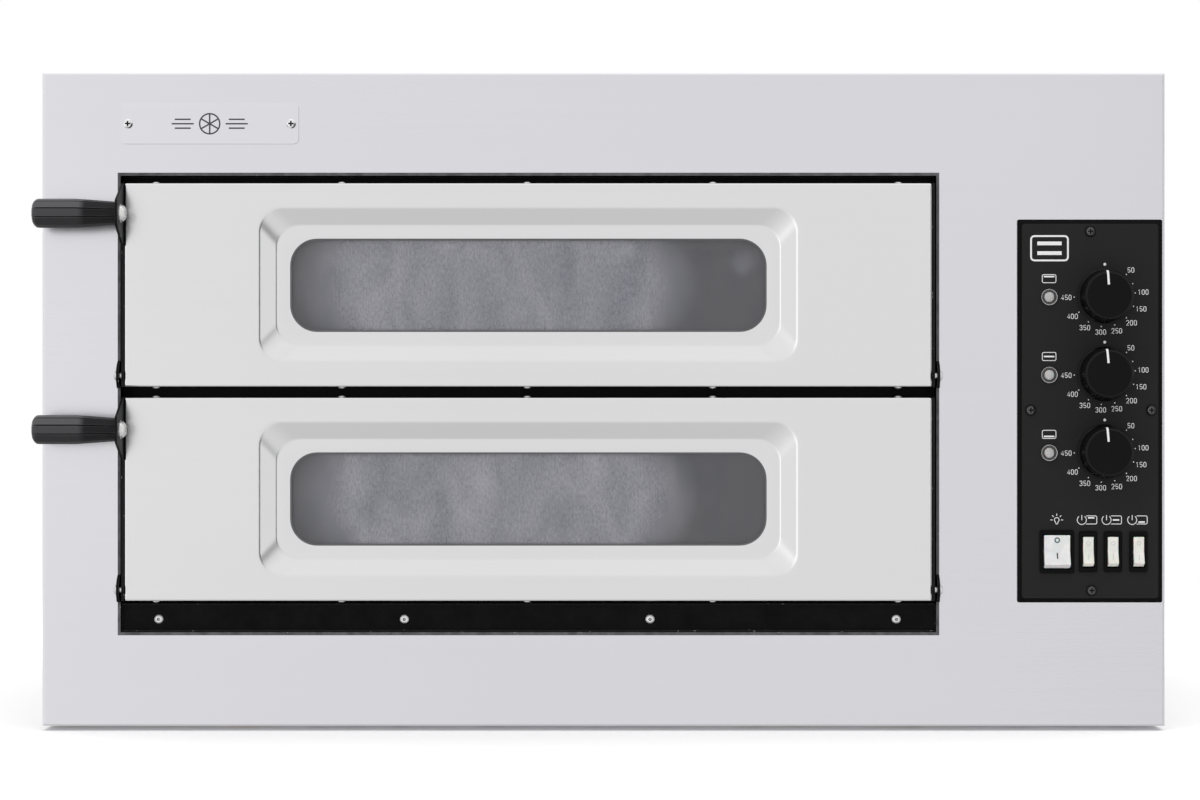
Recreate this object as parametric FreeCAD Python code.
"""Twin-deck electric countertop pizza oven.

The shapes are modelled in casing coordinates, in millimetres: x from the casing's centre line to the right,
y from the casing's front face to the rear, z up from the casing's underside. save() moves every piece to the
row frame, whose origin is the middle of the whole object's footprint, on the surface that it stands on.
"""

import FreeCAD, Part
import math
import os

os.makedirs("parts", exist_ok=True)

# ---- casing ----
CASING_WIDTH = 915.0
CASING_DEPTH = 633.0
CASING_HEIGHT = 532.0
CASING_SHEET = 1.2
FRONT_RETURN = 20.0  # how far the front panel's folded edges reach back
FRONT_BEND = 1.8
LID_LIP = 14.0
SEAM = 0.6
REAR_FLANGE = 15.0
FOOT_RADIUS = 17.0
FOOT_HEIGHT = 4.0
REAR_REACH = 14.0  # how far the vent tubes and the cable gland stand out of the rear panel
SHANK_GAP = 0.15  # radial clearance of a fixing screw in its hole

# ---- mouth: the black frame round both doors ----
MOUTH_CENTRE = -61.2
MOUTH_HALF = 334.4
MOUTH_BOTTOM = 74.2
MOUTH_TOP = 450.5
MOUTH_WALL = 2.2
MOUTH_PROUD = 1.5
PLATE_FRONT = 15.0  # front of the plate that closes the mouth round the chambers
PLATE_THICK = 2.0
EAR_LENGTH = 25.0

# ---- decks ----
DECK_PITCH = 174.0
CHAMBER_HALF = 310.0
CHAMBER_DEPTH = 510.0
STONE_TOP = 128.0  # of the lower deck; it lies level with the open door's inner face
STONE_THICK = 14.0
STONE_DEPTH = 500.0
CHAMBER_CLEAR = 120.0
MOUTH_LIP = 10.0  # the plate's cut-out starts this much below the stone's top
LINER_SHEET = 1.0
FLOOR_DROP = 11.0  # from the stone's underside to the liner's floor
ELEMENT_RADIUS = 4.0
BLANKET = 45.0  # thickness of the mineral wool

# ---- doors ----
DOOR_PROUD = 9.0
DOOR_THICK = 20.0
DOOR_BOTTOM = 102.3  # of the lower door
DOOR_HEIGHT = 165.4
SKIN_HALF = 328.1
SKIN_SHEET = 1.0
SKIN_FLANGE = 17.0
SKIN_BEND = 1.8
SIDE_PLATE = 2.1
PIVOT_AHEAD = 5.0  # of the casing's front face
PIVOT_RISE = 9.0  # above the door's bottom edge
PIN_RADIUS = 2.5
PIN_GAP = 0.05
PIN_HEAD = 2.3
WINDOW_WIDTH = 388.0
WINDOW_HEIGHT = 76.0
WINDOW_CORNER = 22.0
RECESS_WIDTH = 437.0
RECESS_HEIGHT = 125.0
RECESS_FLOOR_WIDTH = 410.0
RECESS_FLOOR_HEIGHT = 98.0
RECESS_DEPTH = 7.0
GLASS_THICK = 4.0
GLASS_RIM = 9.0
SEAL_THICK = 1.5
RIVET_PITCH = 151.0
RIVETS = 5
GRIP_RISE = 139.5  # grip axis above the door's bottom edge
GRIP_AHEAD = 22.0  # grip axis ahead of the door's face
GRIP_RADIUS = 12.0
GRIP_NECK = 9.5
GRIP_FLATS = 10
GRIP_END = -459.2
GRIP_FAT_TO = -424.0
EAR_REACH = 34.0
EAR_ROOT = 25.0
EAR_TIP = 10.0

# ---- controls ----
CONTROL_LEFT = 336.9
CONTROL_RIGHT = 455.0
CONTROL_BOTTOM = 100.7
CONTROL_TOP = 412.6
CONTROL_THICK = 3.0
CONTROL_BEVEL = 3.6
DIAL_X = 407.9
DIAL_MIDDLE = 286.8
DIAL_PITCH = 63.35
KNOB_SKIRT = 22.3
KNOB_FACE = 20.0
KNOB_HEIGHT = 22.0
KNOB_GAP = 0.8
SPINDLE_RADIUS = 3.0
SPINDLE_FLAT = 1.6
LAMP_X = 362.6
LAMP_DROP = 0.8  # pilot lamps lie this much below their dials
BEZEL_RADIUS = 6.8
LENS_RADIUS = 4.0
SWITCH_RISE = 142.2
LIGHT_SWITCH_X = 368.8
ZONE_SWITCH_X = (394.2, 414.3, 435.2)
PARTITION_X = 278.0

WHOLE_DEPTH = DOOR_PROUD + EAR_REACH + CASING_DEPTH + REAR_REACH
CASING_TO_ROW = FreeCAD.Vector(0, DOOR_PROUD + EAR_REACH - WHOLE_DEPTH / 2, FOOT_HEIGHT)

X, Y, Z = FreeCAD.Vector(1, 0, 0), FreeCAD.Vector(0, 1, 0), FreeCAD.Vector(0, 0, 1)
HALF = CASING_WIDTH / 2
STONE_BOTTOM = STONE_TOP - STONE_THICK
LINER_FLOOR = STONE_BOTTOM - FLOOR_DROP
LINER_CEILING = STONE_TOP + CHAMBER_CLEAR
CHAMBER_FRONT = PLATE_FRONT + PLATE_THICK
CHAMBER_REAR = CHAMBER_FRONT + CHAMBER_DEPTH
DECKS = (("lower", 0.0), ("upper", DECK_PITCH))


# ---- shape helpers ----
def block(x, y, z):
    """A box from three (low, high) ranges."""
    return Part.makeBox(x[1] - x[0], y[1] - y[0], z[1] - z[0], FreeCAD.Vector(x[0], y[0], z[0]))


def rod(radius, start, end):
    """A cylinder between two points."""
    start = FreeCAD.Vector(*start)
    along = FreeCAD.Vector(*end) - start
    return Part.makeCylinder(radius, along.Length, start, along)


def cone(radius_start, radius_end, start, end):
    """A truncated cone between two points."""
    start = FreeCAD.Vector(*start)
    along = FreeCAD.Vector(*end) - start
    return Part.makeCone(radius_start, radius_end, along.Length, start, along)


def rounded_wire(centre, width, height, corner, y):
    """A rectangle with round corners in a plane of constant y, about (x, z)."""
    cx, cz = centre
    a, b, r = width / 2, height / 2, corner
    bend = r * (1 - math.sqrt(0.5))
    corners = [
        ((a - r, -b), (a - bend, -b + bend), (a, -b + r)),
        ((a, b - r), (a - bend, b - bend), (a - r, b)),
        ((-a + r, b), (-a + bend, b - bend), (-a, b - r)),
        ((-a, -b + r), (-a + bend, -b + bend), (-a + r, -b)),
    ]
    edges = []
    for index, corner_points in enumerate(corners):
        first, middle, last = [FreeCAD.Vector(cx + u, y, cz + v) for u, v in corner_points]
        edges.append(Part.Arc(first, middle, last).toShape())
        following = corners[(index + 1) % 4][0]
        next_point = FreeCAD.Vector(cx + following[0], y, cz + following[1])
        edges.append(Part.LineSegment(last, next_point).toShape())
    return Part.Wire(edges)


def rounded_prism(centre, width, height, corner, y):
    """A slab with round corners, over the (low, high) range y."""
    face = Part.Face(rounded_wire(centre, width, height, corner, y[0]))
    return face.extrude(FreeCAD.Vector(0, y[1] - y[0], 0))


def polygon_prism(points, direction):
    """A flat polygon of 3-D points, pushed along a vector."""
    corners = [FreeCAD.Vector(*p) for p in points]
    wire = Part.makePolygon(corners + [corners[0]])
    return Part.Face(wire).extrude(FreeCAD.Vector(*direction))


def turned(profile, start, axis):
    """A solid of revolution: profile gives (distance along the axis, radius) from start."""
    points = [FreeCAD.Vector(radius, 0, along) for along, radius in profile]
    solid = Part.Face(Part.makePolygon(points + [points[0]])).revolve(FreeCAD.Vector(), Z, 360)
    solid.Placement = FreeCAD.Placement(FreeCAD.Vector(*start), FreeCAD.Rotation(Z, axis))
    return solid


def edges_in_plane(shape, value, axis="Y"):
    """The shape's edges that lie wholly in one plane."""
    return [
        edge
        for edge in shape.Edges
        if abs(getattr(edge.BoundBox, axis + "Min") - value) < 1e-4
        and abs(getattr(edge.BoundBox, axis + "Max") - value) < 1e-4
    ]


def pan(x, y, z, sheet, bend):
    """A folded tray of sheet metal, open to the rear, with rounded front edges."""
    outer = block(x, y, z)
    outer = outer.makeFillet(bend, edges_in_plane(outer, y[0]))
    inner = block((x[0] + sheet, x[1] - sheet), (y[0] + sheet, y[1] + 1), (z[0] + sheet, z[1] - sheet))
    inner_bend = max(bend - sheet, 0.3)
    inner = inner.makeFillet(inner_bend, edges_in_plane(inner, y[0] + sheet))
    return outer.cut(inner)


def tube_along(points, radius, bend):
    """A round bar along straight runs joined by tangent arcs."""
    corners = [FreeCAD.Vector(*p) for p in points]
    edges = []
    start = corners[0]
    for before, corner, after in zip(corners, corners[1:], corners[2:]):
        back = (before - corner).normalize()
        ahead = (after - corner).normalize()
        half_turn = (math.pi - back.getAngle(ahead)) / 2
        setback = bend * math.tan(half_turn)
        first = corner + back * setback
        last = corner + ahead * setback
        inward = (back + ahead).normalize()
        middle = corner + inward * (bend / math.cos(half_turn) - bend)
        if (first - start).Length > 1e-6:
            edges.append(Part.LineSegment(start, first).toShape())
        edges.append(Part.Arc(first, middle, last).toShape())
        start = last
    edges.append(Part.LineSegment(start, corners[-1]).toShape())
    path = Part.Wire(edges)
    section = Part.Wire(Part.Circle(corners[0], corners[1] - corners[0], radius).toShape())
    return path.makePipeShell([section], True, False)


def pan_head_screw(point, axis, head_radius, head_height, shank_radius, shank_length):
    """A cross-recessed screw whose head's underside is centred on point; axis points out of the head."""
    crown = head_height * 0.45
    profile = [
        (0, 0),
        (0, head_radius),
        (head_height - crown, head_radius),
        (head_height - crown * 0.35, head_radius * 0.8),
        (head_height, head_radius * 0.45),
        (head_height, 0),
    ]
    screw = turned(profile, (0, 0, 0), Z).fuse(rod(shank_radius, (0, 0, -shank_length), (0, 0, 0)))
    slot, reach = head_radius * 0.15, head_radius * 0.55
    floor = head_height * 0.4
    for arm in ((slot, reach), (reach, slot)):
        screw = screw.cut(block((-arm[0], arm[0]), (-arm[1], arm[1]), (floor, head_height + 1)))
    screw.Placement = FreeCAD.Placement(FreeCAD.Vector(*point), FreeCAD.Rotation(Z, axis))
    return screw


def save(name, *solids):
    """Writes one node. A node of several like pieces holds them as separate solids."""
    pieces = [solid for shape in solids for solid in shape.Solids]
    whole = pieces[0] if len(pieces) == 1 else Part.makeCompound(pieces)
    whole = whole.copy()
    whole.translate(CASING_TO_ROW)
    whole.exportStep("parts/%s.step" % name)


# ---- places used by several pieces ----
DIALS = [
    ("bottom", DIAL_MIDDLE - DIAL_PITCH),
    ("middle", DIAL_MIDDLE),
    ("top", DIAL_MIDDLE + DIAL_PITCH),
]
PIVOT_Y = -PIVOT_AHEAD
DOOR_FACE = -DOOR_PROUD
DOOR_BACK = DOOR_FACE + DOOR_THICK
FOOT_PLACES = [(sx * (HALF - 62), y) for sx in (-1, 1) for y in (64.0, CASING_DEPTH - 64.0)]
SILL_SCREW_X = [-363.0, -162.5, 37.9, 238.8]
SILL_SCREW_Z = 86.7
SILL_FACE = 4.0
CONTROL_SCREWS = [(396.1, 402.8), (347.5, 257.3), (445.8, 257.3), (397.1, 110.6)]
NAME_PLATE_CENTRE = (-320.8, 490.6)
NAME_PLATE_SIZE = (145.0, 33.0)
NAME_SCREW_X = (-387.4, -254.5)
LAMP_Y = 430.0
LAMP_RISE = 84.0  # chamber lamp above the stone's top
LAMP_WINDOW = 20.0
VENT_X = (-260.0, 140.0)
VENT_RISE = 100.0
VENT_RADIUS = 12.5
GLAND_PLACE = (372.0, 58.0)
GLAND_RADIUS = 10.0
ELEMENT_RUNS = 8
ELEMENT_FRONT = 62.0
ELEMENT_TAIL = 60.0
ELEMENT_SPAN = 536.0
SIDE_Y = (FRONT_RETURN + SEAM, CASING_DEPTH - CASING_SHEET - SEAM)
SIDE_TOP = CASING_HEIGHT - LID_LIP - SEAM
SIDE_SCREWS = [(60.0, 40.0), (60.0, 480.0), (580.0, 40.0), (580.0, 480.0)]
REAR_SCREW_X = HALF - 8.0
REAR_SCREW_Z = (30.0, 180.0, 340.0, 490.0)
THERMOSTAT_REAR = 30.0
RIVET_Y = DOOR_FACE + 13.0
EAR_OUTER = MOUTH_CENTRE - SKIN_HALF - SIDE_PLATE
LIGHT_SWITCH = {"bezel": (27.9, 35.0), "body": (24.6, 31.0), "rocker": (22.4, 27.0)}
ZONE_SWITCH = {"bezel": (14.7, 33.2), "body": (11.6, 29.6), "rocker": (9.4, 24.2)}
BEZEL_PROUD = 2.0
ROCKER_TILT = 20.0  # from off to on
ROCKER_PIVOT = 6.0  # behind the pressed half's face, for a rocker 27 high
ROCKER_CLEAR = 0.8  # the pressed half's face stands this much out of the bezel
TRUNNION_RADIUS = 1.3
TERMINAL_X = (304.0, 374.0)
TERMINAL_Y = (540.0, 566.0)
TERMINAL_TOP = 26.0


def element_heights(rise):
    """The axis heights of a deck's lower and upper heating elements."""
    return (LINER_FLOOR + rise + ELEMENT_RADIUS + 1.5, LINER_CEILING + rise - ELEMENT_RADIUS - 6.0)


def element_ends():
    """The two x places where a serpentine element leaves through the rear."""
    return (MOUTH_CENTRE - ELEMENT_SPAN / 2, MOUTH_CENTRE + ELEMENT_SPAN / 2)


def rear_holes(y, extra):
    """Rods that clear the elements' tails and the vent tubes over the range y."""
    holes = []
    for _, rise in DECKS:
        for height in element_heights(rise):
            for x in element_ends():
                holes.append(rod(ELEMENT_RADIUS + extra, (x, y[0], height), (x, y[1], height)))
        for x in VENT_X:
            height = STONE_TOP + rise + VENT_RISE
            holes.append(rod(VENT_RADIUS + extra, (x, y[0], height), (x, y[1], height)))
    return holes


def louvres(place, count, pitch, length, height):
    """Slot cutters in a column: place gives (u, v) of the lowest slot's centre."""
    u, v = place
    return [(u - length / 2, u + length / 2, v + n * pitch - height / 2, v + n * pitch + height / 2)
            for n in range(count)]


# ---- casing pieces ----
def front_panel():
    panel = pan((-HALF, HALF), (0, FRONT_RETURN), (0, CASING_HEIGHT), CASING_SHEET, FRONT_BEND)
    gap = 0.3
    mouth = block(
        (MOUTH_CENTRE - MOUTH_HALF - gap, MOUTH_CENTRE + MOUTH_HALF + gap),
        (-1, 5),
        (MOUTH_BOTTOM - gap, MOUTH_TOP + gap),
    )
    controls = block((354.0, 442.3), (-1, 5), (122.0, 393.0))
    panel = panel.cut(mouth).cut(controls)
    for x in NAME_SCREW_X:
        panel = panel.cut(rod(1.5 + SHANK_GAP, (x, -1, NAME_PLATE_CENTRE[1]), (x, 5, NAME_PLATE_CENTRE[1])))
    for x, z in CONTROL_SCREWS:
        panel = panel.cut(rod(1.5 + SHANK_GAP, (x, -1, z), (x, 5, z)))
    return panel


def side_panel(side):
    """A side panel with an inward flange at the top and at the rear. side is -1 left, 1 right."""
    wall = block((HALF - CASING_SHEET, HALF), SIDE_Y, (0, SIDE_TOP))
    top_flange = block((HALF - REAR_FLANGE, HALF), SIDE_Y, (SIDE_TOP - CASING_SHEET, SIDE_TOP))
    rear_flange = block(
        (HALF - REAR_FLANGE, HALF), (SIDE_Y[1] - CASING_SHEET, SIDE_Y[1]), (CASING_SHEET, SIDE_TOP)
    )
    panel = wall.fuse(top_flange).fuse(rear_flange).removeSplitter()
    for y, z in SIDE_SCREWS:
        panel = panel.cut(rod(2.0 + SHANK_GAP, (HALF - 3, y, z), (HALF + 3, y, z)))
    if side > 0:
        for first in (200.0, 330.0, 460.0):
            for low_y, high_y, low_z, high_z in louvres((first, 150.0), 9, 26.0, 92.0, 5.0):
                panel = panel.cut(block((HALF - 3, HALF + 3), (low_y, high_y), (low_z, high_z)))
    for z in REAR_SCREW_Z:
        start, end = (REAR_SCREW_X, SIDE_Y[1] - 3, z), (REAR_SCREW_X, SIDE_Y[1] + 3, z)
        panel = panel.cut(rod(2.0 + SHANK_GAP, start, end))
    return panel if side > 0 else panel.mirror(FreeCAD.Vector(), X)


def top_cover():
    lid = block((-HALF, HALF), (FRONT_RETURN + SEAM, CASING_DEPTH), (CASING_HEIGHT - LID_LIP, CASING_HEIGHT))
    lid = lid.makeFillet(FRONT_BEND, [e for side in (-HALF, HALF) for e in edges_in_plane(lid, side, "X")
                                      if e.BoundBox.ZMin > CASING_HEIGHT - 0.1])
    hollow = block(
        (-HALF + CASING_SHEET, HALF - CASING_SHEET),
        (FRONT_RETURN, CASING_DEPTH - CASING_SHEET),
        (CASING_HEIGHT - LID_LIP - 1, CASING_HEIGHT - CASING_SHEET),
    )
    return lid.cut(hollow)


def rear_panel():
    sheet = block(
        (-HALF + SEAM, HALF - SEAM),
        (CASING_DEPTH - CASING_SHEET - SEAM, CASING_DEPTH - SEAM),
        (CASING_SHEET + SEAM, CASING_HEIGHT - LID_LIP - SEAM),
    )
    through = (CASING_DEPTH - 5, CASING_DEPTH + 5)
    for first in (-330.0, 330.0):
        for low_x, high_x, low_z, high_z in louvres((first, 190.0), 9, 26.0, 110.0, 5.0):
            sheet = sheet.cut(block((low_x, high_x), through, (low_z, high_z)))
    for _, rise in DECKS:
        height = STONE_TOP + rise + VENT_RISE
        for x in VENT_X:
            sheet = sheet.cut(rod(VENT_RADIUS + 0.3, (x, through[0], height), (x, through[1], height)))
    gland_x, gland_z = GLAND_PLACE
    sheet = sheet.cut(rod(GLAND_RADIUS, (gland_x, through[0], gland_z), (gland_x, through[1], gland_z)))
    for side in (-1, 1):
        for z in REAR_SCREW_Z:
            x = side * REAR_SCREW_X
            sheet = sheet.cut(rod(2.0 + SHANK_GAP, (x, through[0], z), (x, through[1], z)))
    return sheet


def base_pan():
    y = (FRONT_RETURN + SEAM, CASING_DEPTH - CASING_SHEET - SEAM - 0.2)
    wall = HALF - CASING_SHEET - 0.2
    tray = block((-wall, wall), y, (0, 18.0))
    hollow = block(
        (-wall + CASING_SHEET, wall - CASING_SHEET),
        (y[0] + CASING_SHEET, y[1] - REAR_FLANGE),
        (CASING_SHEET, 20.0),
    )
    rear_step = block((-wall - 1, wall + 1), (y[1] - REAR_FLANGE, y[1] + 1), (CASING_SHEET, 20.0))
    tray = tray.cut(hollow).cut(rear_step)
    for x, place in FOOT_PLACES:
        tray = tray.cut(rod(4.0 + SHANK_GAP, (x, place, -1), (x, place, 5)))
    return tray


def foot(x, y):
    profile = [
        (-FOOT_HEIGHT, 0),
        (-FOOT_HEIGHT, FOOT_RADIUS - 1.5),
        (-FOOT_HEIGHT + 1.5, FOOT_RADIUS),
        (0, FOOT_RADIUS),
        (0, 4.0),
        (CASING_SHEET, 4.0),
        (CASING_SHEET, 6.5),
        (CASING_SHEET + 3.0, 5.0),
        (CASING_SHEET + 3.0, 0),
    ]
    return turned(profile, (x, y, 0), Z)


def partition_wall():
    wall = block((PARTITION_X, PARTITION_X + CASING_SHEET), (FRONT_RETURN + 4, 625.0), (4.0, 510.0))
    foot_flange = block((PARTITION_X, PARTITION_X + 16), (FRONT_RETURN + 4, 625.0), (CASING_SHEET, 4.0))
    wall = wall.fuse(foot_flange).removeSplitter()
    for hole in lamp_bores(24.6, (PARTITION_X - 5, PARTITION_X + 15)) + capillary_bores(3.0):
        wall = wall.cut(hole)
    return wall


def casing_screws():
    screws = []
    for side, axis in ((-1, X * -1), (1, X)):
        for y, z in SIDE_SCREWS:
            screws.append(pan_head_screw((side * HALF, y, z), axis, 4.0, 2.4, 2.0, 9.0))
        for z in REAR_SCREW_Z:
            seat = (side * REAR_SCREW_X, CASING_DEPTH - SEAM, z)
            screws.append(pan_head_screw(seat, Y, 4.0, 2.4, 2.0, 9.0))
    for x in NAME_SCREW_X:
        screws.append(pan_head_screw((x, -1.0, NAME_PLATE_CENTRE[1]), Y * -1, 3.8, 2.2, 1.5, 7.0))
    return screws


def name_plate():
    width, height = NAME_PLATE_SIZE
    plate = rounded_prism(NAME_PLATE_CENTRE, width, height, 4.4, (-1.0, 0))
    for x in NAME_SCREW_X:
        plate = plate.cut(rod(1.5 + SHANK_GAP, (x, -2, NAME_PLATE_CENTRE[1]), (x, 1, NAME_PLATE_CENTRE[1])))
    return plate


# ---- mouth ----
def hinge_ear(side, bottom):
    """A fixed hinge ear that stands out of the frame's side wall at a door's bottom corner."""
    outer = MOUTH_CENTRE + side * MOUTH_HALF
    inner = MOUTH_CENTRE + side * (MOUTH_HALF - MOUTH_WALL)
    low, high = min(outer, inner), max(outer, inner)
    outline = [
        (low, 4.0, bottom - 1.0),
        (low, 4.0, bottom + EAR_LENGTH),
        (low, PIVOT_Y - 2.0, bottom + PIVOT_RISE + 9.0),
        (low, PIVOT_Y - 6.0, bottom + PIVOT_RISE + 3.5),
        (low, PIVOT_Y - 6.0, bottom + PIVOT_RISE - 3.5),
        (low, PIVOT_Y - 2.0, bottom - 1.0),
    ]
    ear = polygon_prism(outline, (high - low, 0, 0))
    return ear.makeFillet(2.5, [e for e in ear.Edges if e.BoundBox.YMax < PIVOT_Y and e.BoundBox.XLength > 1])


def mouth_frame():
    left, right = MOUTH_CENTRE - MOUTH_HALF, MOUTH_CENTRE + MOUTH_HALF
    frame = block((left, right), (-MOUTH_PROUD, CHAMBER_FRONT), (MOUTH_BOTTOM, MOUTH_TOP))
    hollow = block(
        (left + MOUTH_WALL, right - MOUTH_WALL),
        (-MOUTH_PROUD - 1, PLATE_FRONT),
        (MOUTH_BOTTOM + MOUTH_WALL, MOUTH_TOP - MOUTH_WALL),
    )
    frame = frame.cut(hollow)
    for _, rise in DECKS:
        low, high = STONE_TOP + rise - MOUTH_LIP, LINER_CEILING + rise
        middle = (MOUTH_CENTRE, (low + high) / 2)
        through = (PLATE_FRONT - 1, CHAMBER_FRONT + 1)
        cut_out = rounded_prism(middle, 2 * CHAMBER_HALF, high - low, 3.0, through)
        frame = frame.cut(cut_out)
        for side in (-1, 1):
            frame = frame.fuse(hinge_ear(side, DOOR_BOTTOM + rise))
    frame = frame.removeSplitter()
    for _, rise in DECKS:
        height = DOOR_BOTTOM + rise + PIVOT_RISE
        frame = frame.cut(rod(PIN_RADIUS, (left - 5, PIVOT_Y, height), (left + 5, PIVOT_Y, height)))
        frame = frame.cut(rod(PIN_RADIUS, (right - 5, PIVOT_Y, height), (right + 5, PIVOT_Y, height)))
    return frame


def hinge_pins():
    """Headed pins, fixed in the frame's ears; each door turns on its two."""
    pins = []
    for _, rise in DECKS:
        height = DOOR_BOTTOM + rise + PIVOT_RISE
        for side in (-1, 1):
            outer = MOUTH_CENTRE + side * MOUTH_HALF
            reach = MOUTH_HALF - SKIN_HALF + SKIN_SHEET + 0.6
            profile = [
                (-PIN_HEAD, 0),
                (-PIN_HEAD, 2.6),
                (-PIN_HEAD + 0.7, 3.6),
                (-PIN_HEAD + 1.5, 4.0),
                (0, 4.0),
                (0, PIN_RADIUS),
                (reach - 0.4, PIN_RADIUS),
                (reach, PIN_RADIUS - 0.4),
                (reach, 0),
            ]
            pins.append(turned(profile, (outer, PIVOT_Y, height), X * -side))
    return pins


def sill_strip():
    half = MOUTH_HALF - MOUTH_WALL - 0.2
    x = (MOUTH_CENTRE - half, MOUTH_CENTRE + half)
    bottom = MOUTH_BOTTOM + MOUTH_WALL + 0.1
    top = DOOR_BOTTOM - 3.0
    face = block(x, (SILL_FACE, SILL_FACE + 1.2), (bottom, top))
    shelf = block(x, (SILL_FACE, PLATE_FRONT), (top - 1.2, top))
    toe = block(x, (SILL_FACE - 3.5, SILL_FACE + 1.2), (bottom, bottom + 1.2))
    strip = face.fuse(shelf).fuse(toe).removeSplitter()
    for screw_x in SILL_SCREW_X:
        strip = strip.cut(rod(2.0 + SHANK_GAP, (screw_x, 0, SILL_SCREW_Z), (screw_x, 10, SILL_SCREW_Z)))
    return strip


def sill_screws():
    """Button-head socket screws."""
    screws = []
    socket_radius = 1.45
    turns = [math.radians(angle) for angle in range(0, 360, 60)]
    corners = [(socket_radius * math.cos(turn), socket_radius * math.sin(turn)) for turn in turns]
    for x in SILL_SCREW_X:
        profile = [(0, 0), (0, 3.8), (0.5, 3.8), (1.3, 3.3), (1.9, 2.5), (2.1, 1.9), (2.1, 0)]
        head = turned(profile, (x, SILL_FACE, SILL_SCREW_Z), Y * -1)
        shank = rod(2.0, (x, SILL_FACE, SILL_SCREW_Z), (x, SILL_FACE + 9, SILL_SCREW_Z))
        socket = [(x + across, SILL_FACE - 3, SILL_SCREW_Z + up) for across, up in corners]
        screws.append(head.fuse(shank).cut(polygon_prism(socket, (0, 2.3, 0))))
    return screws


# ---- chambers ----
def lamp_bores(radius, x):
    """Rods along x through both chamber lamps' places."""
    heights = [STONE_TOP + rise + LAMP_RISE for _, rise in DECKS]
    return [rod(radius, (x[0], LAMP_Y, height), (x[1], LAMP_Y, height)) for height in heights]


def capillary_routes():
    """Where each thermostat's capillary runs: out of the thermostat, back, and through to the chambers."""
    ends = [LINER_CEILING - 18.0, LINER_CEILING + 14.5, LINER_CEILING + DECK_PITCH - 18.0]
    tips = [MOUTH_CENTRE + 200, MOUTH_CENTRE + 322, MOUTH_CENTRE + 200]
    routes = []
    for (name, dial_z), end_z, tip_x, y in zip(DIALS, ends, tips, (340.0, 300.0, 260.0)):
        start = (DIAL_X, THERMOSTAT_REAR, dial_z)
        routes.append([start, (DIAL_X, y, dial_z), (DIAL_X - 60, y, end_z), (tip_x, y, end_z)])
    return routes


def capillary_bores(radius):
    """Rods that let the capillaries through the partition and the right insulation."""
    return [
        rod(radius, (MOUTH_CENTRE + CHAMBER_HALF + 2.0, end[1], end[2]), (PARTITION_X + 8, end[1], end[2]))
        for end in [route[-1] for route in capillary_routes()]
    ]


def chamber_liner(rise):
    """An oven chamber of separate sheets: floor, ceiling and walls with flanges at the front, a rear sheet,
    and ledges and a middle rail that carry the stones."""
    left, right = MOUTH_CENTRE - CHAMBER_HALF, MOUTH_CENTRE + CHAMBER_HALF
    low, high = LINER_FLOOR + rise, LINER_CEILING + rise
    sheet = LINER_SHEET
    depth = (CHAMBER_FRONT, CHAMBER_REAR)
    front = (CHAMBER_FRONT, CHAMBER_FRONT + sheet)
    outer = (left - sheet, right + sheet)

    floor = block(outer, depth, (low - sheet, low)).fuse(block(outer, front, (low - 6, low)))
    ceiling = block(outer, depth, (high, high + sheet)).fuse(block(outer, front, (high, high + 12)))
    left_wall = block((left - sheet, left), depth, (low, high))
    left_wall = left_wall.fuse(block((left - 12, left), front, (low, high)))
    right_wall = block((right, right + sheet), depth, (low, high))
    right_wall = right_wall.fuse(block((right, right + 12), front, (low, high)))
    rear = block(outer, (CHAMBER_REAR, CHAMBER_REAR + sheet), (low - sheet, high + sheet))
    for hole in rear_holes((CHAMBER_REAR - 3, CHAMBER_REAR + 5), 0.3):
        rear = rear.cut(hole)
    for hole in lamp_bores(LAMP_WINDOW, (right - 3, right + 5)):
        right_wall = right_wall.cut(hole)
    for route in capillary_routes():
        end = route[-1]
        if end[0] < right:
            right_wall = right_wall.cut(rod(1.4, (right - 3, end[1], end[2]), (right + 5, end[1], end[2])))

    strip = 1.2
    seat = STONE_BOTTOM + rise
    ledge_depth = (CHAMBER_FRONT + 4, CHAMBER_REAR)
    left_ledge = block((left, left + 12), ledge_depth, (seat - strip, seat))
    right_ledge = block((right - 12, right), ledge_depth, (seat - strip, seat))
    rail_x = (MOUTH_CENTRE - 9, MOUTH_CENTRE + 9)
    rail = block(rail_x, ledge_depth, (seat - strip, seat))
    for y in (CHAMBER_FRONT + 4, CHAMBER_REAR - 6):
        rail = rail.fuse(block(rail_x, (y, y + strip), (low, seat)))
    sheets = [floor, ceiling, left_wall, right_wall, rear, left_ledge, right_ledge, rail]
    return [piece.removeSplitter() for piece in sheets]


def stone_slabs():
    gap = 0.5
    slabs = []
    for _, rise in DECKS:
        for side in (-1, 1):
            inner = MOUTH_CENTRE + side * gap
            outer = MOUTH_CENTRE + side * (CHAMBER_HALF - gap)
            slab = block(
                (min(inner, outer), max(inner, outer)),
                (CHAMBER_FRONT + 5, CHAMBER_FRONT + 5 + STONE_DEPTH),
                (STONE_BOTTOM + rise, STONE_TOP + rise),
            )
            slabs.append(slab.makeChamfer(1.0, slab.Edges))
    return slabs


def heating_element(height):
    """A tubular element, bent to and fro across the chamber, whose two ends leave through the rear."""
    left, right = element_ends()
    pitch = ELEMENT_SPAN / (ELEMENT_RUNS - 1)
    tail = CHAMBER_REAR + ELEMENT_TAIL
    turn_rear = CHAMBER_REAR - 30.0
    points = [(left, tail, height)]
    for run in range(ELEMENT_RUNS):
        x = left + run * pitch
        to_front = run % 2 == 0
        if run > 0:
            points.append((x, ELEMENT_FRONT if not to_front else turn_rear, height))
        points.append((x, ELEMENT_FRONT if to_front else turn_rear, height))
    points[-1] = (right, tail, height)
    return tube_along(points, ELEMENT_RADIUS, pitch * 0.42)


def heating_elements():
    return [heating_element(height) for _, rise in DECKS for height in element_heights(rise)]


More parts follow.
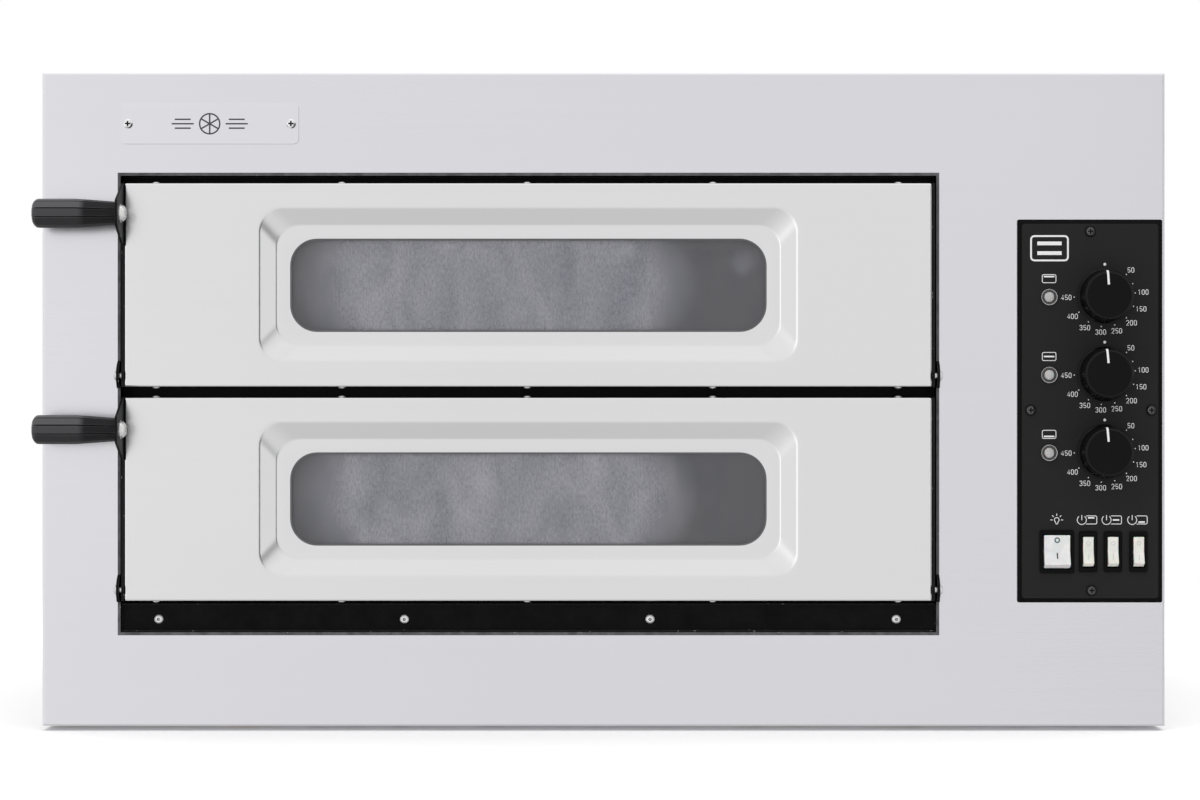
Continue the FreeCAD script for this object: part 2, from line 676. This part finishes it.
def insulation():
    """Mineral wool blankets: under, between and over the liners, behind them and at both sides."""
    left, right = MOUTH_CENTRE - CHAMBER_HALF - 1.5, MOUTH_CENTRE + CHAMBER_HALF + 1.5
    front, rear = CHAMBER_FRONT + 4, CHAMBER_REAR + 1.5
    floor, ceiling = LINER_FLOOR - LINER_SHEET - 0.5, LINER_CEILING + LINER_SHEET + 0.5
    under = (floor - BLANKET, floor)
    between = (ceiling, floor + DECK_PITCH)
    over = (ceiling + DECK_PITCH, ceiling + DECK_PITCH + BLANKET)
    tall = (under[0], over[1])
    blankets = [block((left, right), (front, rear - 1), z) for z in (under, between, over)]
    back = block((left, right), (rear, rear + BLANKET), tall)
    for hole in rear_holes((CHAMBER_REAR - 3, CHAMBER_REAR + 60), 1.0):
        back = back.cut(hole)
    left_side = block((left - 0.5 - BLANKET, left - 0.5), (front, rear + BLANKET), tall)
    right_side = block((right + 0.5, PARTITION_X - 0.5), (front, rear + BLANKET), tall)
    for hole in lamp_bores(24.6, (right - 1, PARTITION_X + 5)) + capillary_bores(3.0):
        right_side = right_side.cut(hole)
    flanges = block((left - 20, right + 20), (CHAMBER_FRONT - 1, front + 0.5), tall)
    probe = capillary_routes()[1][-1]
    between_hole = rod(4.2, (probe[0] - 75, probe[1], probe[2]), (right + 1, probe[1], probe[2]))
    blankets[1] = blankets[1].cut(between_hole)
    return [piece.cut(flanges) for piece in blankets + [back, left_side, right_side]]


def lamp_parts():
    """Holders, glass covers and bulbs of the two chamber lamps, in that order."""
    wall = MOUTH_CENTRE + CHAMBER_HALF + LINER_SHEET
    holders, glasses, bulbs = [], [], []
    for _, rise in DECKS:
        z = STONE_TOP + rise + LAMP_RISE
        shell = rod(24.0, (wall, LAMP_Y, z), (wall + 46, LAMP_Y, z))
        hollow = rod(22.0, (wall - 1, LAMP_Y, z), (wall + 36, LAMP_Y, z))
        holders.append(shell.cut(hollow))
        glasses.append(rod(21.8, (wall, LAMP_Y, z), (wall + 3.5, LAMP_Y, z)))
        profile = [(6, 0), (7, 5), (10, 8), (15, 10), (22, 9), (27, 6.5), (36, 6.5), (36, 0)]
        bulbs.append(turned(profile, (wall, LAMP_Y, z), X))
    return holders, glasses, bulbs


def vent_tubes():
    tubes = []
    for _, rise in DECKS:
        z = STONE_TOP + rise + VENT_RISE
        for x in VENT_X:
            ends = (CHAMBER_REAR, CASING_DEPTH + REAR_REACH)
            tube = rod(VENT_RADIUS, (x, ends[0], z), (x, ends[1], z))
            tubes.append(tube.cut(rod(VENT_RADIUS - 1.0, (x, ends[0] - 1, z), (x, ends[1] + 1, z))))
    return tubes


# ---- doors ----
def door_skin(bottom):
    """The outer skin: a folded tray with the window recess pressed into it."""
    x = (MOUTH_CENTRE - SKIN_HALF, MOUTH_CENTRE + SKIN_HALF)
    middle = (MOUTH_CENTRE, bottom + DOOR_HEIGHT / 2)
    skin = pan(x, (DOOR_FACE, DOOR_FACE + SKIN_FLANGE), (bottom, bottom + DOOR_HEIGHT), SKIN_SHEET, SKIN_BEND)
    wall = 1.4  # widening that keeps the sloped wall of the recess one sheet thick

    def recess(widen, shift):
        mouth = rounded_wire(middle, RECESS_WIDTH + widen, RECESS_HEIGHT + widen, 18.0, DOOR_FACE + shift)
        floor_y = DOOR_FACE + RECESS_DEPTH + shift
        floor = rounded_wire(middle, RECESS_FLOOR_WIDTH + widen, RECESS_FLOOR_HEIGHT + widen, 20.0, floor_y)
        return Part.makeLoft([mouth, floor], True, True)

    skin = skin.fuse(recess(wall, SKIN_SHEET)).cut(recess(0, 0))
    around = (DOOR_FACE - 1, DOOR_FACE + RECESS_DEPTH + 5)
    skin = skin.cut(rounded_prism(middle, WINDOW_WIDTH, WINDOW_HEIGHT, WINDOW_CORNER, around))
    height = bottom + PIVOT_RISE
    for side in (-1, 1):
        start, end = MOUTH_CENTRE + side * (SKIN_HALF - 3), MOUTH_CENTRE + side * (SKIN_HALF + 3)
        skin = skin.cut(rod(PIN_RADIUS + 0.4, (start, PIVOT_Y, height), (end, PIVOT_Y, height)))
    for hole in rivet_shanks(bottom, 1.5 + SHANK_GAP):
        skin = skin.cut(hole)
    return skin


def rivet_places(bottom):
    """(x, z, direction) of every rivet, on the door's bottom and top edges."""
    span = RIVET_PITCH * (RIVETS - 1)
    places = []
    for z, direction in ((bottom, -1), (bottom + DOOR_HEIGHT, 1)):
        for n in range(RIVETS):
            places.append((MOUTH_CENTRE - 1.0 - span / 2 + n * RIVET_PITCH, z, direction))
    return places


def rivet_shanks(bottom, radius):
    return [rod(radius, (x, RIVET_Y, z - 4 * out), (x, RIVET_Y, z)) for x, z, out in rivet_places(bottom)]


def door_rivets(bottom):
    rivets = []
    for x, z, out in rivet_places(bottom):
        profile = [(-3.2, 0), (-3.2, 1.5), (0, 1.5), (0, 2.7), (0.8, 2.3), (1.4, 1.4), (1.6, 0.6), (1.6, 0)]
        rivets.append(turned(profile, (x, RIVET_Y, z), Z * out))
    return rivets


def door_tray(bottom):
    """The inner tray: its edges nest inside the skin's, and a turned-in collar holds the glass."""
    half = SKIN_HALF - SKIN_SHEET
    x = (MOUTH_CENTRE - half, MOUTH_CENTRE + half)
    z = (bottom + SKIN_SHEET, bottom + DOOR_HEIGHT - SKIN_SHEET)
    middle = (MOUTH_CENTRE, bottom + DOOR_HEIGHT / 2)
    front = PIVOT_Y + PIN_RADIUS + 1.5
    tray = block(x, (front, DOOR_BACK), z)
    sheet = 1.0
    hollow = block((x[0] + sheet, x[1] - sheet), (front - 1, DOOR_BACK - sheet), (z[0] + sheet, z[1] - sheet))
    tray = tray.cut(hollow)
    glass_back = DOOR_FACE + RECESS_DEPTH + SKIN_SHEET + SEAL_THICK + GLASS_THICK
    size = (WINDOW_WIDTH + 6, WINDOW_HEIGHT + 6)
    outside = (size[0] + 2 * sheet, size[1] + 2 * sheet)
    collar = rounded_prism(middle, *outside, WINDOW_CORNER + 4, (glass_back, DOOR_BACK))
    opening = rounded_prism(middle, *size, WINDOW_CORNER + 3, (glass_back - 1, DOOR_BACK + 1))
    tray = tray.fuse(collar).cut(opening).removeSplitter()
    for hole in rivet_shanks(bottom, 1.5 + SHANK_GAP):
        tray = tray.cut(hole)
    return tray


def door_side_plates(bottom):
    """Side plates that turn on the hinge pins. The left one reaches forward as the grip's ear."""
    plates = []
    for side in (-1, 1):
        inner = MOUTH_CENTRE + side * SKIN_HALF
        outer = MOUTH_CENTRE + side * (SKIN_HALF + SIDE_PLATE)
        low, high = min(inner, outer), max(inner, outer)
        plate = block((low, high), (DOOR_FACE, DOOR_BACK), (bottom, bottom + DOOR_HEIGHT))
        pivot = (PIVOT_Y, bottom + PIVOT_RISE)
        boss = rod(PIN_RADIUS + 3.2, (low, *pivot), (high, *pivot))
        plate = plate.fuse(boss)
        if side < 0:
            axis_z = bottom + GRIP_RISE
            outline = [
                (low, DOOR_FACE + 1, axis_z - EAR_ROOT),
                (low, DOOR_FACE - 2, axis_z - EAR_ROOT),
                (low, DOOR_FACE - EAR_REACH, axis_z - EAR_TIP),
                (low, DOOR_FACE - EAR_REACH, axis_z + EAR_TIP),
                (low, DOOR_FACE - 2, axis_z + EAR_ROOT),
                (low, DOOR_FACE + 1, axis_z + EAR_ROOT),
            ]
            ear = polygon_prism(outline, (high - low, 0, 0))
            ear = ear.makeFillet(4.0, [e for e in edges_along_x(ear) if e.BoundBox.YMax < DOOR_FACE - 20])
            plate = plate.fuse(ear)
            bolt = (DOOR_FACE - GRIP_AHEAD, axis_z)
            plate = plate.removeSplitter().cut(rod(4.2, (low - 2, *bolt), (high + 2, *bolt)))
        plate = plate.cut(rod(PIN_RADIUS + PIN_GAP, (low - 2, *pivot), (high + 2, *pivot)))
        plates.append(plate.removeSplitter())
    return plates


def edges_along_x(shape):
    boxes = [(e, e.BoundBox) for e in shape.Edges]
    return [e for e, b in boxes if b.XLength > 1 and b.YLength < 0.01 and b.ZLength < 0.01]


def door_glass(bottom):
    middle = (MOUTH_CENTRE, bottom + DOOR_HEIGHT / 2)
    front = DOOR_FACE + RECESS_DEPTH + SKIN_SHEET + SEAL_THICK
    size = (WINDOW_WIDTH + 2 * GLASS_RIM, WINDOW_HEIGHT + 2 * GLASS_RIM)
    return rounded_prism(middle, size[0], size[1], WINDOW_CORNER + GLASS_RIM, (front, front + GLASS_THICK))


def door_glass_seal(bottom):
    middle = (MOUTH_CENTRE, bottom + DOOR_HEIGHT / 2)
    front = DOOR_FACE + RECESS_DEPTH + SKIN_SHEET
    depth = (front, front + SEAL_THICK)
    size = (WINDOW_WIDTH + 2 * GLASS_RIM, WINDOW_HEIGHT + 2 * GLASS_RIM)
    seal = rounded_prism(middle, size[0], size[1], WINDOW_CORNER + GLASS_RIM, depth)
    through = (front - 1, front + 4)
    hole = rounded_prism(middle, WINDOW_WIDTH - 3, WINDOW_HEIGHT - 3, WINDOW_CORNER - 1.5, through)
    return seal.cut(hole)


def flatted_wire(x, y, z, radius):
    """A regular polygon in a plane of constant x, with one flat facing the front."""
    step = 2 * math.pi / GRIP_FLATS
    points = []
    for n in range(GRIP_FLATS + 1):
        angle = step * (n + 0.5)
        points.append(FreeCAD.Vector(x, y - radius * math.cos(angle), z + radius * math.sin(angle)))
    return Part.makePolygon(points)


def door_grip(bottom):
    """A many-sided grip that tapers towards the ear and has a domed end."""
    y, z = DOOR_FACE - GRIP_AHEAD, bottom + GRIP_RISE
    sections = [
        (EAR_OUTER, GRIP_NECK),
        (EAR_OUTER - 4, GRIP_NECK + 0.3),
        (GRIP_FAT_TO, GRIP_RADIUS),
        (GRIP_END + 4.5, GRIP_RADIUS),
        (GRIP_END + 1.5, GRIP_RADIUS - 1.6),
        (GRIP_END, GRIP_RADIUS - 4.6),
    ]
    grip = Part.makeLoft([flatted_wire(x, y, z, radius) for x, radius in sections], True, True)
    return grip.cut(rod(4.0, (EAR_OUTER - 40, y, z), (EAR_OUTER + 1, y, z)))


def door_grip_bolt(bottom):
    """A domed bolt through the ear into the grip, with a washer under its head."""
    y, z = DOOR_FACE - GRIP_AHEAD, bottom + GRIP_RISE
    seat = EAR_OUTER + SIDE_PLATE
    profile = [
        (-38, 0),
        (-38, 4.0),
        (1.1, 4.0),
        (1.1, 6.7),
        (2.6, 6.5),
        (4.2, 5.4),
        (5.3, 3.4),
        (5.7, 1.2),
        (5.7, 0),
    ]
    bolt = turned(profile, (seat, y, z), X)
    washer = rod(7.4, (seat, y, z), (seat + 1.1, y, z)).cut(rod(4.05, (seat - 1, y, z), (seat + 2, y, z)))
    return [bolt, washer]


# ---- controls ----
def control_plate():
    x, z = (CONTROL_LEFT, CONTROL_RIGHT), (CONTROL_BOTTOM, CONTROL_TOP)
    middle = ((x[0] + x[1]) / 2, (z[0] + z[1]) / 2)
    size = (x[1] - x[0], z[1] - z[0])
    base = rounded_prism(middle, size[0], size[1], 1.6, (-CONTROL_THICK + 1.8, 0))
    rim = rounded_wire(middle, size[0], size[1], 1.6, -CONTROL_THICK + 1.8)
    top = rounded_wire(middle, size[0] - 2 * CONTROL_BEVEL, size[1] - 2 * CONTROL_BEVEL, 2.5, -CONTROL_THICK)
    plate = base.fuse(Part.makeLoft([rim, top], True, True)).removeSplitter()
    holes = []
    for _, dial_z in DIALS:
        holes.append(rod(4.5, (DIAL_X, -5, dial_z), (DIAL_X, 5, dial_z)))
        holes.append(rod(5.6, (LAMP_X, -5, dial_z - LAMP_DROP), (LAMP_X, 5, dial_z - LAMP_DROP)))
    for screw_x, screw_z in CONTROL_SCREWS:
        holes.append(rod(1.5 + SHANK_GAP, (screw_x, -5, screw_z), (screw_x, 5, screw_z)))
    for centre_x, size in switch_sizes():
        half_w, half_h = size["body"][0] / 2 + 0.1, size["body"][1] / 2 + 0.1
        x_range = (centre_x - half_w, centre_x + half_w)
        z_range = (SWITCH_RISE - half_h, SWITCH_RISE + half_h)
        holes.append(block(x_range, (-5, 5), z_range))
    for hole in holes:
        plate = plate.cut(hole)
    return plate


def control_plate_screws():
    return [
        pan_head_screw((x, -CONTROL_THICK, z), Y * -1, 3.9, 1.9, 1.5, 8.0) for x, z in CONTROL_SCREWS
    ]


def thermostats():
    bodies = []
    for _, z in DIALS:
        body = block((DIAL_X - 20, DIAL_X + 20), (2.0, THERMOSTAT_REAR), (z - 20, z + 20))
        bush = rod(7.0, (DIAL_X, 0, z), (DIAL_X, 3, z))
        bore = rod(SPINDLE_RADIUS + PIN_GAP, (DIAL_X, -1, z), (DIAL_X, 18, z))
        bodies.append(body.fuse(bush).cut(bore))
    return bodies


def spindle(z):
    """A round spindle whose front end has a flat for the knob."""
    shaft = rod(SPINDLE_RADIUS, (DIAL_X, -CONTROL_THICK - 14, z), (DIAL_X, 16, z))
    flat = block(
        (DIAL_X - 5, DIAL_X + 5), (-CONTROL_THICK - 15, -CONTROL_THICK - 4), (z - 5, z - SPINDLE_FLAT)
    )
    return shaft.cut(flat)


def knob(z):
    """A plain round knob with a rounded face, a thin skirt and a D-shaped bore."""
    back = -CONTROL_THICK - KNOB_GAP
    profile = [
        (0, 0),
        (0, KNOB_SKIRT),
        (1.6, KNOB_SKIRT),
        (2.6, KNOB_SKIRT - 1.0),
        (3.4, KNOB_FACE + 0.7),
        (KNOB_HEIGHT - 2.2, KNOB_FACE),
        (KNOB_HEIGHT - 0.8, KNOB_FACE - 0.7),
        (KNOB_HEIGHT, KNOB_FACE - 2.2),
        (KNOB_HEIGHT, 0),
    ]
    body = turned(profile, (DIAL_X, back, z), Y * -1)
    bore = rod(SPINDLE_RADIUS + PIN_GAP, (DIAL_X, back + 1, z), (DIAL_X, -CONTROL_THICK - 14.2, z))
    flat_z = (z - 5, z - SPINDLE_FLAT - PIN_GAP)
    bore = bore.cut(block((DIAL_X - 5, DIAL_X + 5), (-40, -CONTROL_THICK - 4.1), flat_z))
    return body.cut(bore)


def pilot_light_bezels():
    bezels = []
    for _, dial_z in DIALS:
        z = dial_z - LAMP_DROP
        profile = [
            (-16, LENS_RADIUS + 0.1),
            (-16, 5.4),
            (0, 5.4),
            (0, BEZEL_RADIUS),
            (0.8, BEZEL_RADIUS),
            (2.2, BEZEL_RADIUS - 1.4),
            (2.4, BEZEL_RADIUS - 2.2),
            (1.2, LENS_RADIUS + 0.1),
        ]
        bezels.append(turned(profile, (LAMP_X, -CONTROL_THICK, z), Y * -1))
    return bezels


def pilot_light_lenses():
    lenses = []
    for _, dial_z in DIALS:
        profile = [(-12, 0), (-12, LENS_RADIUS), (1.6, LENS_RADIUS), (2.6, LENS_RADIUS - 1.2), (2.9, 0)]
        lenses.append(turned(profile, (LAMP_X, -CONTROL_THICK, dial_z - LAMP_DROP), Y * -1))
    return lenses


def switch_sizes():
    return [(LIGHT_SWITCH_X, LIGHT_SWITCH)] + [(x, ZONE_SWITCH) for x in ZONE_SWITCH_X]


def rocker_pivot(size):
    """The y of a rocker's pivot."""
    scale = size["rocker"][1] / LIGHT_SWITCH["rocker"][1]
    return -CONTROL_THICK - BEZEL_PROUD - ROCKER_CLEAR + ROCKER_PIVOT * scale


def rocker(x, size):
    """A rocker in its off position: the upper half lies level with the plate, the lower half stands out."""
    width, height = size["rocker"]
    half = height / 2
    face = ROCKER_PIVOT * height / LIGHT_SWITCH["rocker"][1]
    slope = math.tan(math.radians(ROCKER_TILT))
    shoulder = half * 0.76
    pivot = rocker_pivot(size)
    outline = [
        (-face, half),
        (-face, 0),
        (-face - slope * shoulder, -shoulder),
        (-face * 0.7, -half),
        (face * 0.35, -half * 0.9),
        (face * 0.6, 0),
        (face * 0.35, half * 0.92),
    ]
    points = [(x - width / 2, pivot + y, SWITCH_RISE + z) for y, z in outline]
    body = polygon_prism(points, (width, 0, 0))
    trunnion = rod(
        TRUNNION_RADIUS, (x - width / 2 - 0.9, pivot, SWITCH_RISE), (x + width / 2 + 0.9, pivot, SWITCH_RISE)
    )
    return body.fuse(trunnion)


def switch_housing(x, size):
    """A bezel and body with a well in which the rocker swings on its trunnions."""
    face = -CONTROL_THICK - BEZEL_PROUD
    bezel = rounded_prism((x, SWITCH_RISE), *size["bezel"], 1.5, (face, -CONTROL_THICK))
    bezel = bezel.makeChamfer(0.8, edges_in_plane(bezel, face))
    width, height = size["body"]
    z_range = (SWITCH_RISE - height / 2, SWITCH_RISE + height / 2)
    body = block((x - width / 2, x + width / 2), (-CONTROL_THICK, 20), z_range)
    well_w = size["rocker"][0] / 2 + 0.3
    well_h = size["rocker"][1] / 2 * 1.07
    well = block((x - well_w, x + well_w), (face - 1, 10), (SWITCH_RISE - well_h, SWITCH_RISE + well_h))
    pivot = rocker_pivot(size)
    start, end = (x - well_w - 0.8, pivot, SWITCH_RISE), (x + well_w + 0.8, pivot, SWITCH_RISE)
    bores = rod(TRUNNION_RADIUS + PIN_GAP, start, end)
    housing = bezel.fuse(body).removeSplitter().cut(well).cut(bores)
    for side in (-1, 1):
        tab_z = SWITCH_RISE + side * 8
        housing = housing.fuse(block((x - 2.4, x + 2.4), (20, 28), (tab_z - 0.4, tab_z + 0.4)))
    return housing


def thermostat_capillaries():
    """Thin tubes that end in a sensing bulb."""
    capillaries = []
    for route in capillary_routes():
        tube = tube_along(route, 1.0, 18.0)
        tip = route[-1]
        bulb = rod(3.0, (tip[0] - 70, tip[1], tip[2]), tip)
        capillaries.append(tube.fuse(bulb))
    return capillaries


def terminal_block():
    body = block(TERMINAL_X, TERMINAL_Y, (CASING_SHEET, TERMINAL_TOP))
    ways = 5
    pitch = (TERMINAL_X[1] - TERMINAL_X[0]) / ways
    for n in range(ways):
        x = TERMINAL_X[0] + (n + 0.5) * pitch
        middle = (TERMINAL_Y[0] + TERMINAL_Y[1]) / 2
        body = body.cut(rod(3.4, (x, middle, TERMINAL_TOP - 8), (x, middle, TERMINAL_TOP + 1)))
        body = body.cut(rod(2.6, (x, TERMINAL_Y[0] - 1, 14.0), (x, TERMINAL_Y[0] + 8, 14.0)))
    return body


def inner_wiring():
    """Leads from the terminal block to the switches and the thermostats."""
    wires = []
    ways = 5
    pitch = (TERMINAL_X[1] - TERMINAL_X[0]) / ways
    switch_ends = [(x, 28.0, SWITCH_RISE - 8) for x in (LIGHT_SWITCH_X,) + ZONE_SWITCH_X]
    for n, end in enumerate(switch_ends):
        x = TERMINAL_X[0] + (n + 0.5) * pitch
        low = 40.0 + 10.0 * n
        start = (x, TERMINAL_Y[0] + 6, 14.0)
        floor_run = [start, (x, 460.0 - 24 * n, 14.0), (x, 400.0 - 24 * n, low)]
        rise_run = [(end[0], 120.0, low), (end[0], 80.0, end[2]), end]
        wires.append(tube_along(floor_run + rise_run, 1.6, 12.0))
    return wires


def cable_gland():
    """A hexagonal gland in the rear panel with a round nut inside. Nothing runs through it."""
    x, z = GLAND_PLACE
    outer = CASING_DEPTH - SEAM
    inner = outer - CASING_SHEET
    collar_radius = 13.5
    turns = [math.radians(angle) for angle in range(0, 360, 60)]
    hexagon = [
        (x + collar_radius * math.cos(turn), outer, z + collar_radius * math.sin(turn))
        for turn in turns
    ]
    collar = polygon_prism(hexagon, (0, 6, 0))
    cap = cone(12.0, 9.0, (x, outer + 6, z), (x, CASING_DEPTH + REAR_REACH, z))
    thread = rod(GLAND_RADIUS - 0.1, (x, inner - 9, z), (x, outer, z))
    nut = rod(14.0, (x, inner - 5, z), (x, inner, z))
    bore = rod(6.0, (x, inner - 20, z), (x, outer + 40, z))
    return collar.fuse(cap).fuse(thread).fuse(nut).cut(bore)


# ---- write every node ----
save("front_panel", front_panel())
save("left_side_panel", side_panel(-1))
save("right_side_panel", side_panel(1))
save("top_cover", top_cover())
save("rear_panel", rear_panel())
save("base_pan", base_pan())
save("feet", *[foot(x, y) for x, y in FOOT_PLACES])
save("partition_wall", partition_wall())
save("casing_screws", *casing_screws())
save("name_plate", name_plate())
save("mouth_frame", mouth_frame())
save("hinge_pins", *hinge_pins())
save("sill_strip", sill_strip())
save("sill_screws", *sill_screws())
save("stone_slabs", *stone_slabs())
save("heating_elements", *heating_elements())
save("insulation", *insulation())
lamp_holders, lamp_glasses, lamp_bulbs = lamp_parts()
save("lamp_holders", *lamp_holders)
save("lamp_glasses", *lamp_glasses)
save("lamp_bulbs", *lamp_bulbs)
save("steam_vent_tubes", *vent_tubes())
for deck, rise in DECKS:
    bottom = DOOR_BOTTOM + rise
    save(deck + "_chamber_liner", *chamber_liner(rise))
    save(deck + "_door_skin", door_skin(bottom))
    save(deck + "_door_tray", door_tray(bottom))
    save(deck + "_door_side_plates", *door_side_plates(bottom))
    save(deck + "_door_glass", door_glass(bottom))
    save(deck + "_door_glass_seal", door_glass_seal(bottom))
    save(deck + "_door_grip", door_grip(bottom))
    save(deck + "_door_grip_bolt", *door_grip_bolt(bottom))
    save(deck + "_door_rivets", *door_rivets(bottom))
save("control_plate", control_plate())
save("control_plate_screws", *control_plate_screws())
save("thermostats", *thermostats())
save("thermostat_capillaries", *thermostat_capillaries())
save("pilot_light_bezels", *pilot_light_bezels())
save("pilot_light_lenses", *pilot_light_lenses())
for dial, height in DIALS:
    save(dial + "_knob", knob(height))
    save(dial + "_spindle", spindle(height))
save("light_switch_housing", switch_housing(LIGHT_SWITCH_X, LIGHT_SWITCH))
save("light_rocker", rocker(LIGHT_SWITCH_X, LIGHT_SWITCH))
save("zone_switch_housings", *[switch_housing(x, ZONE_SWITCH) for x in ZONE_SWITCH_X])
for zone, x in zip(("top", "middle", "bottom"), ZONE_SWITCH_X):
    save(zone + "_zone_rocker", rocker(x, ZONE_SWITCH))
save("terminal_block", terminal_block())
save("inner_wiring", *inner_wiring())
save("cable_gland", cable_gland())
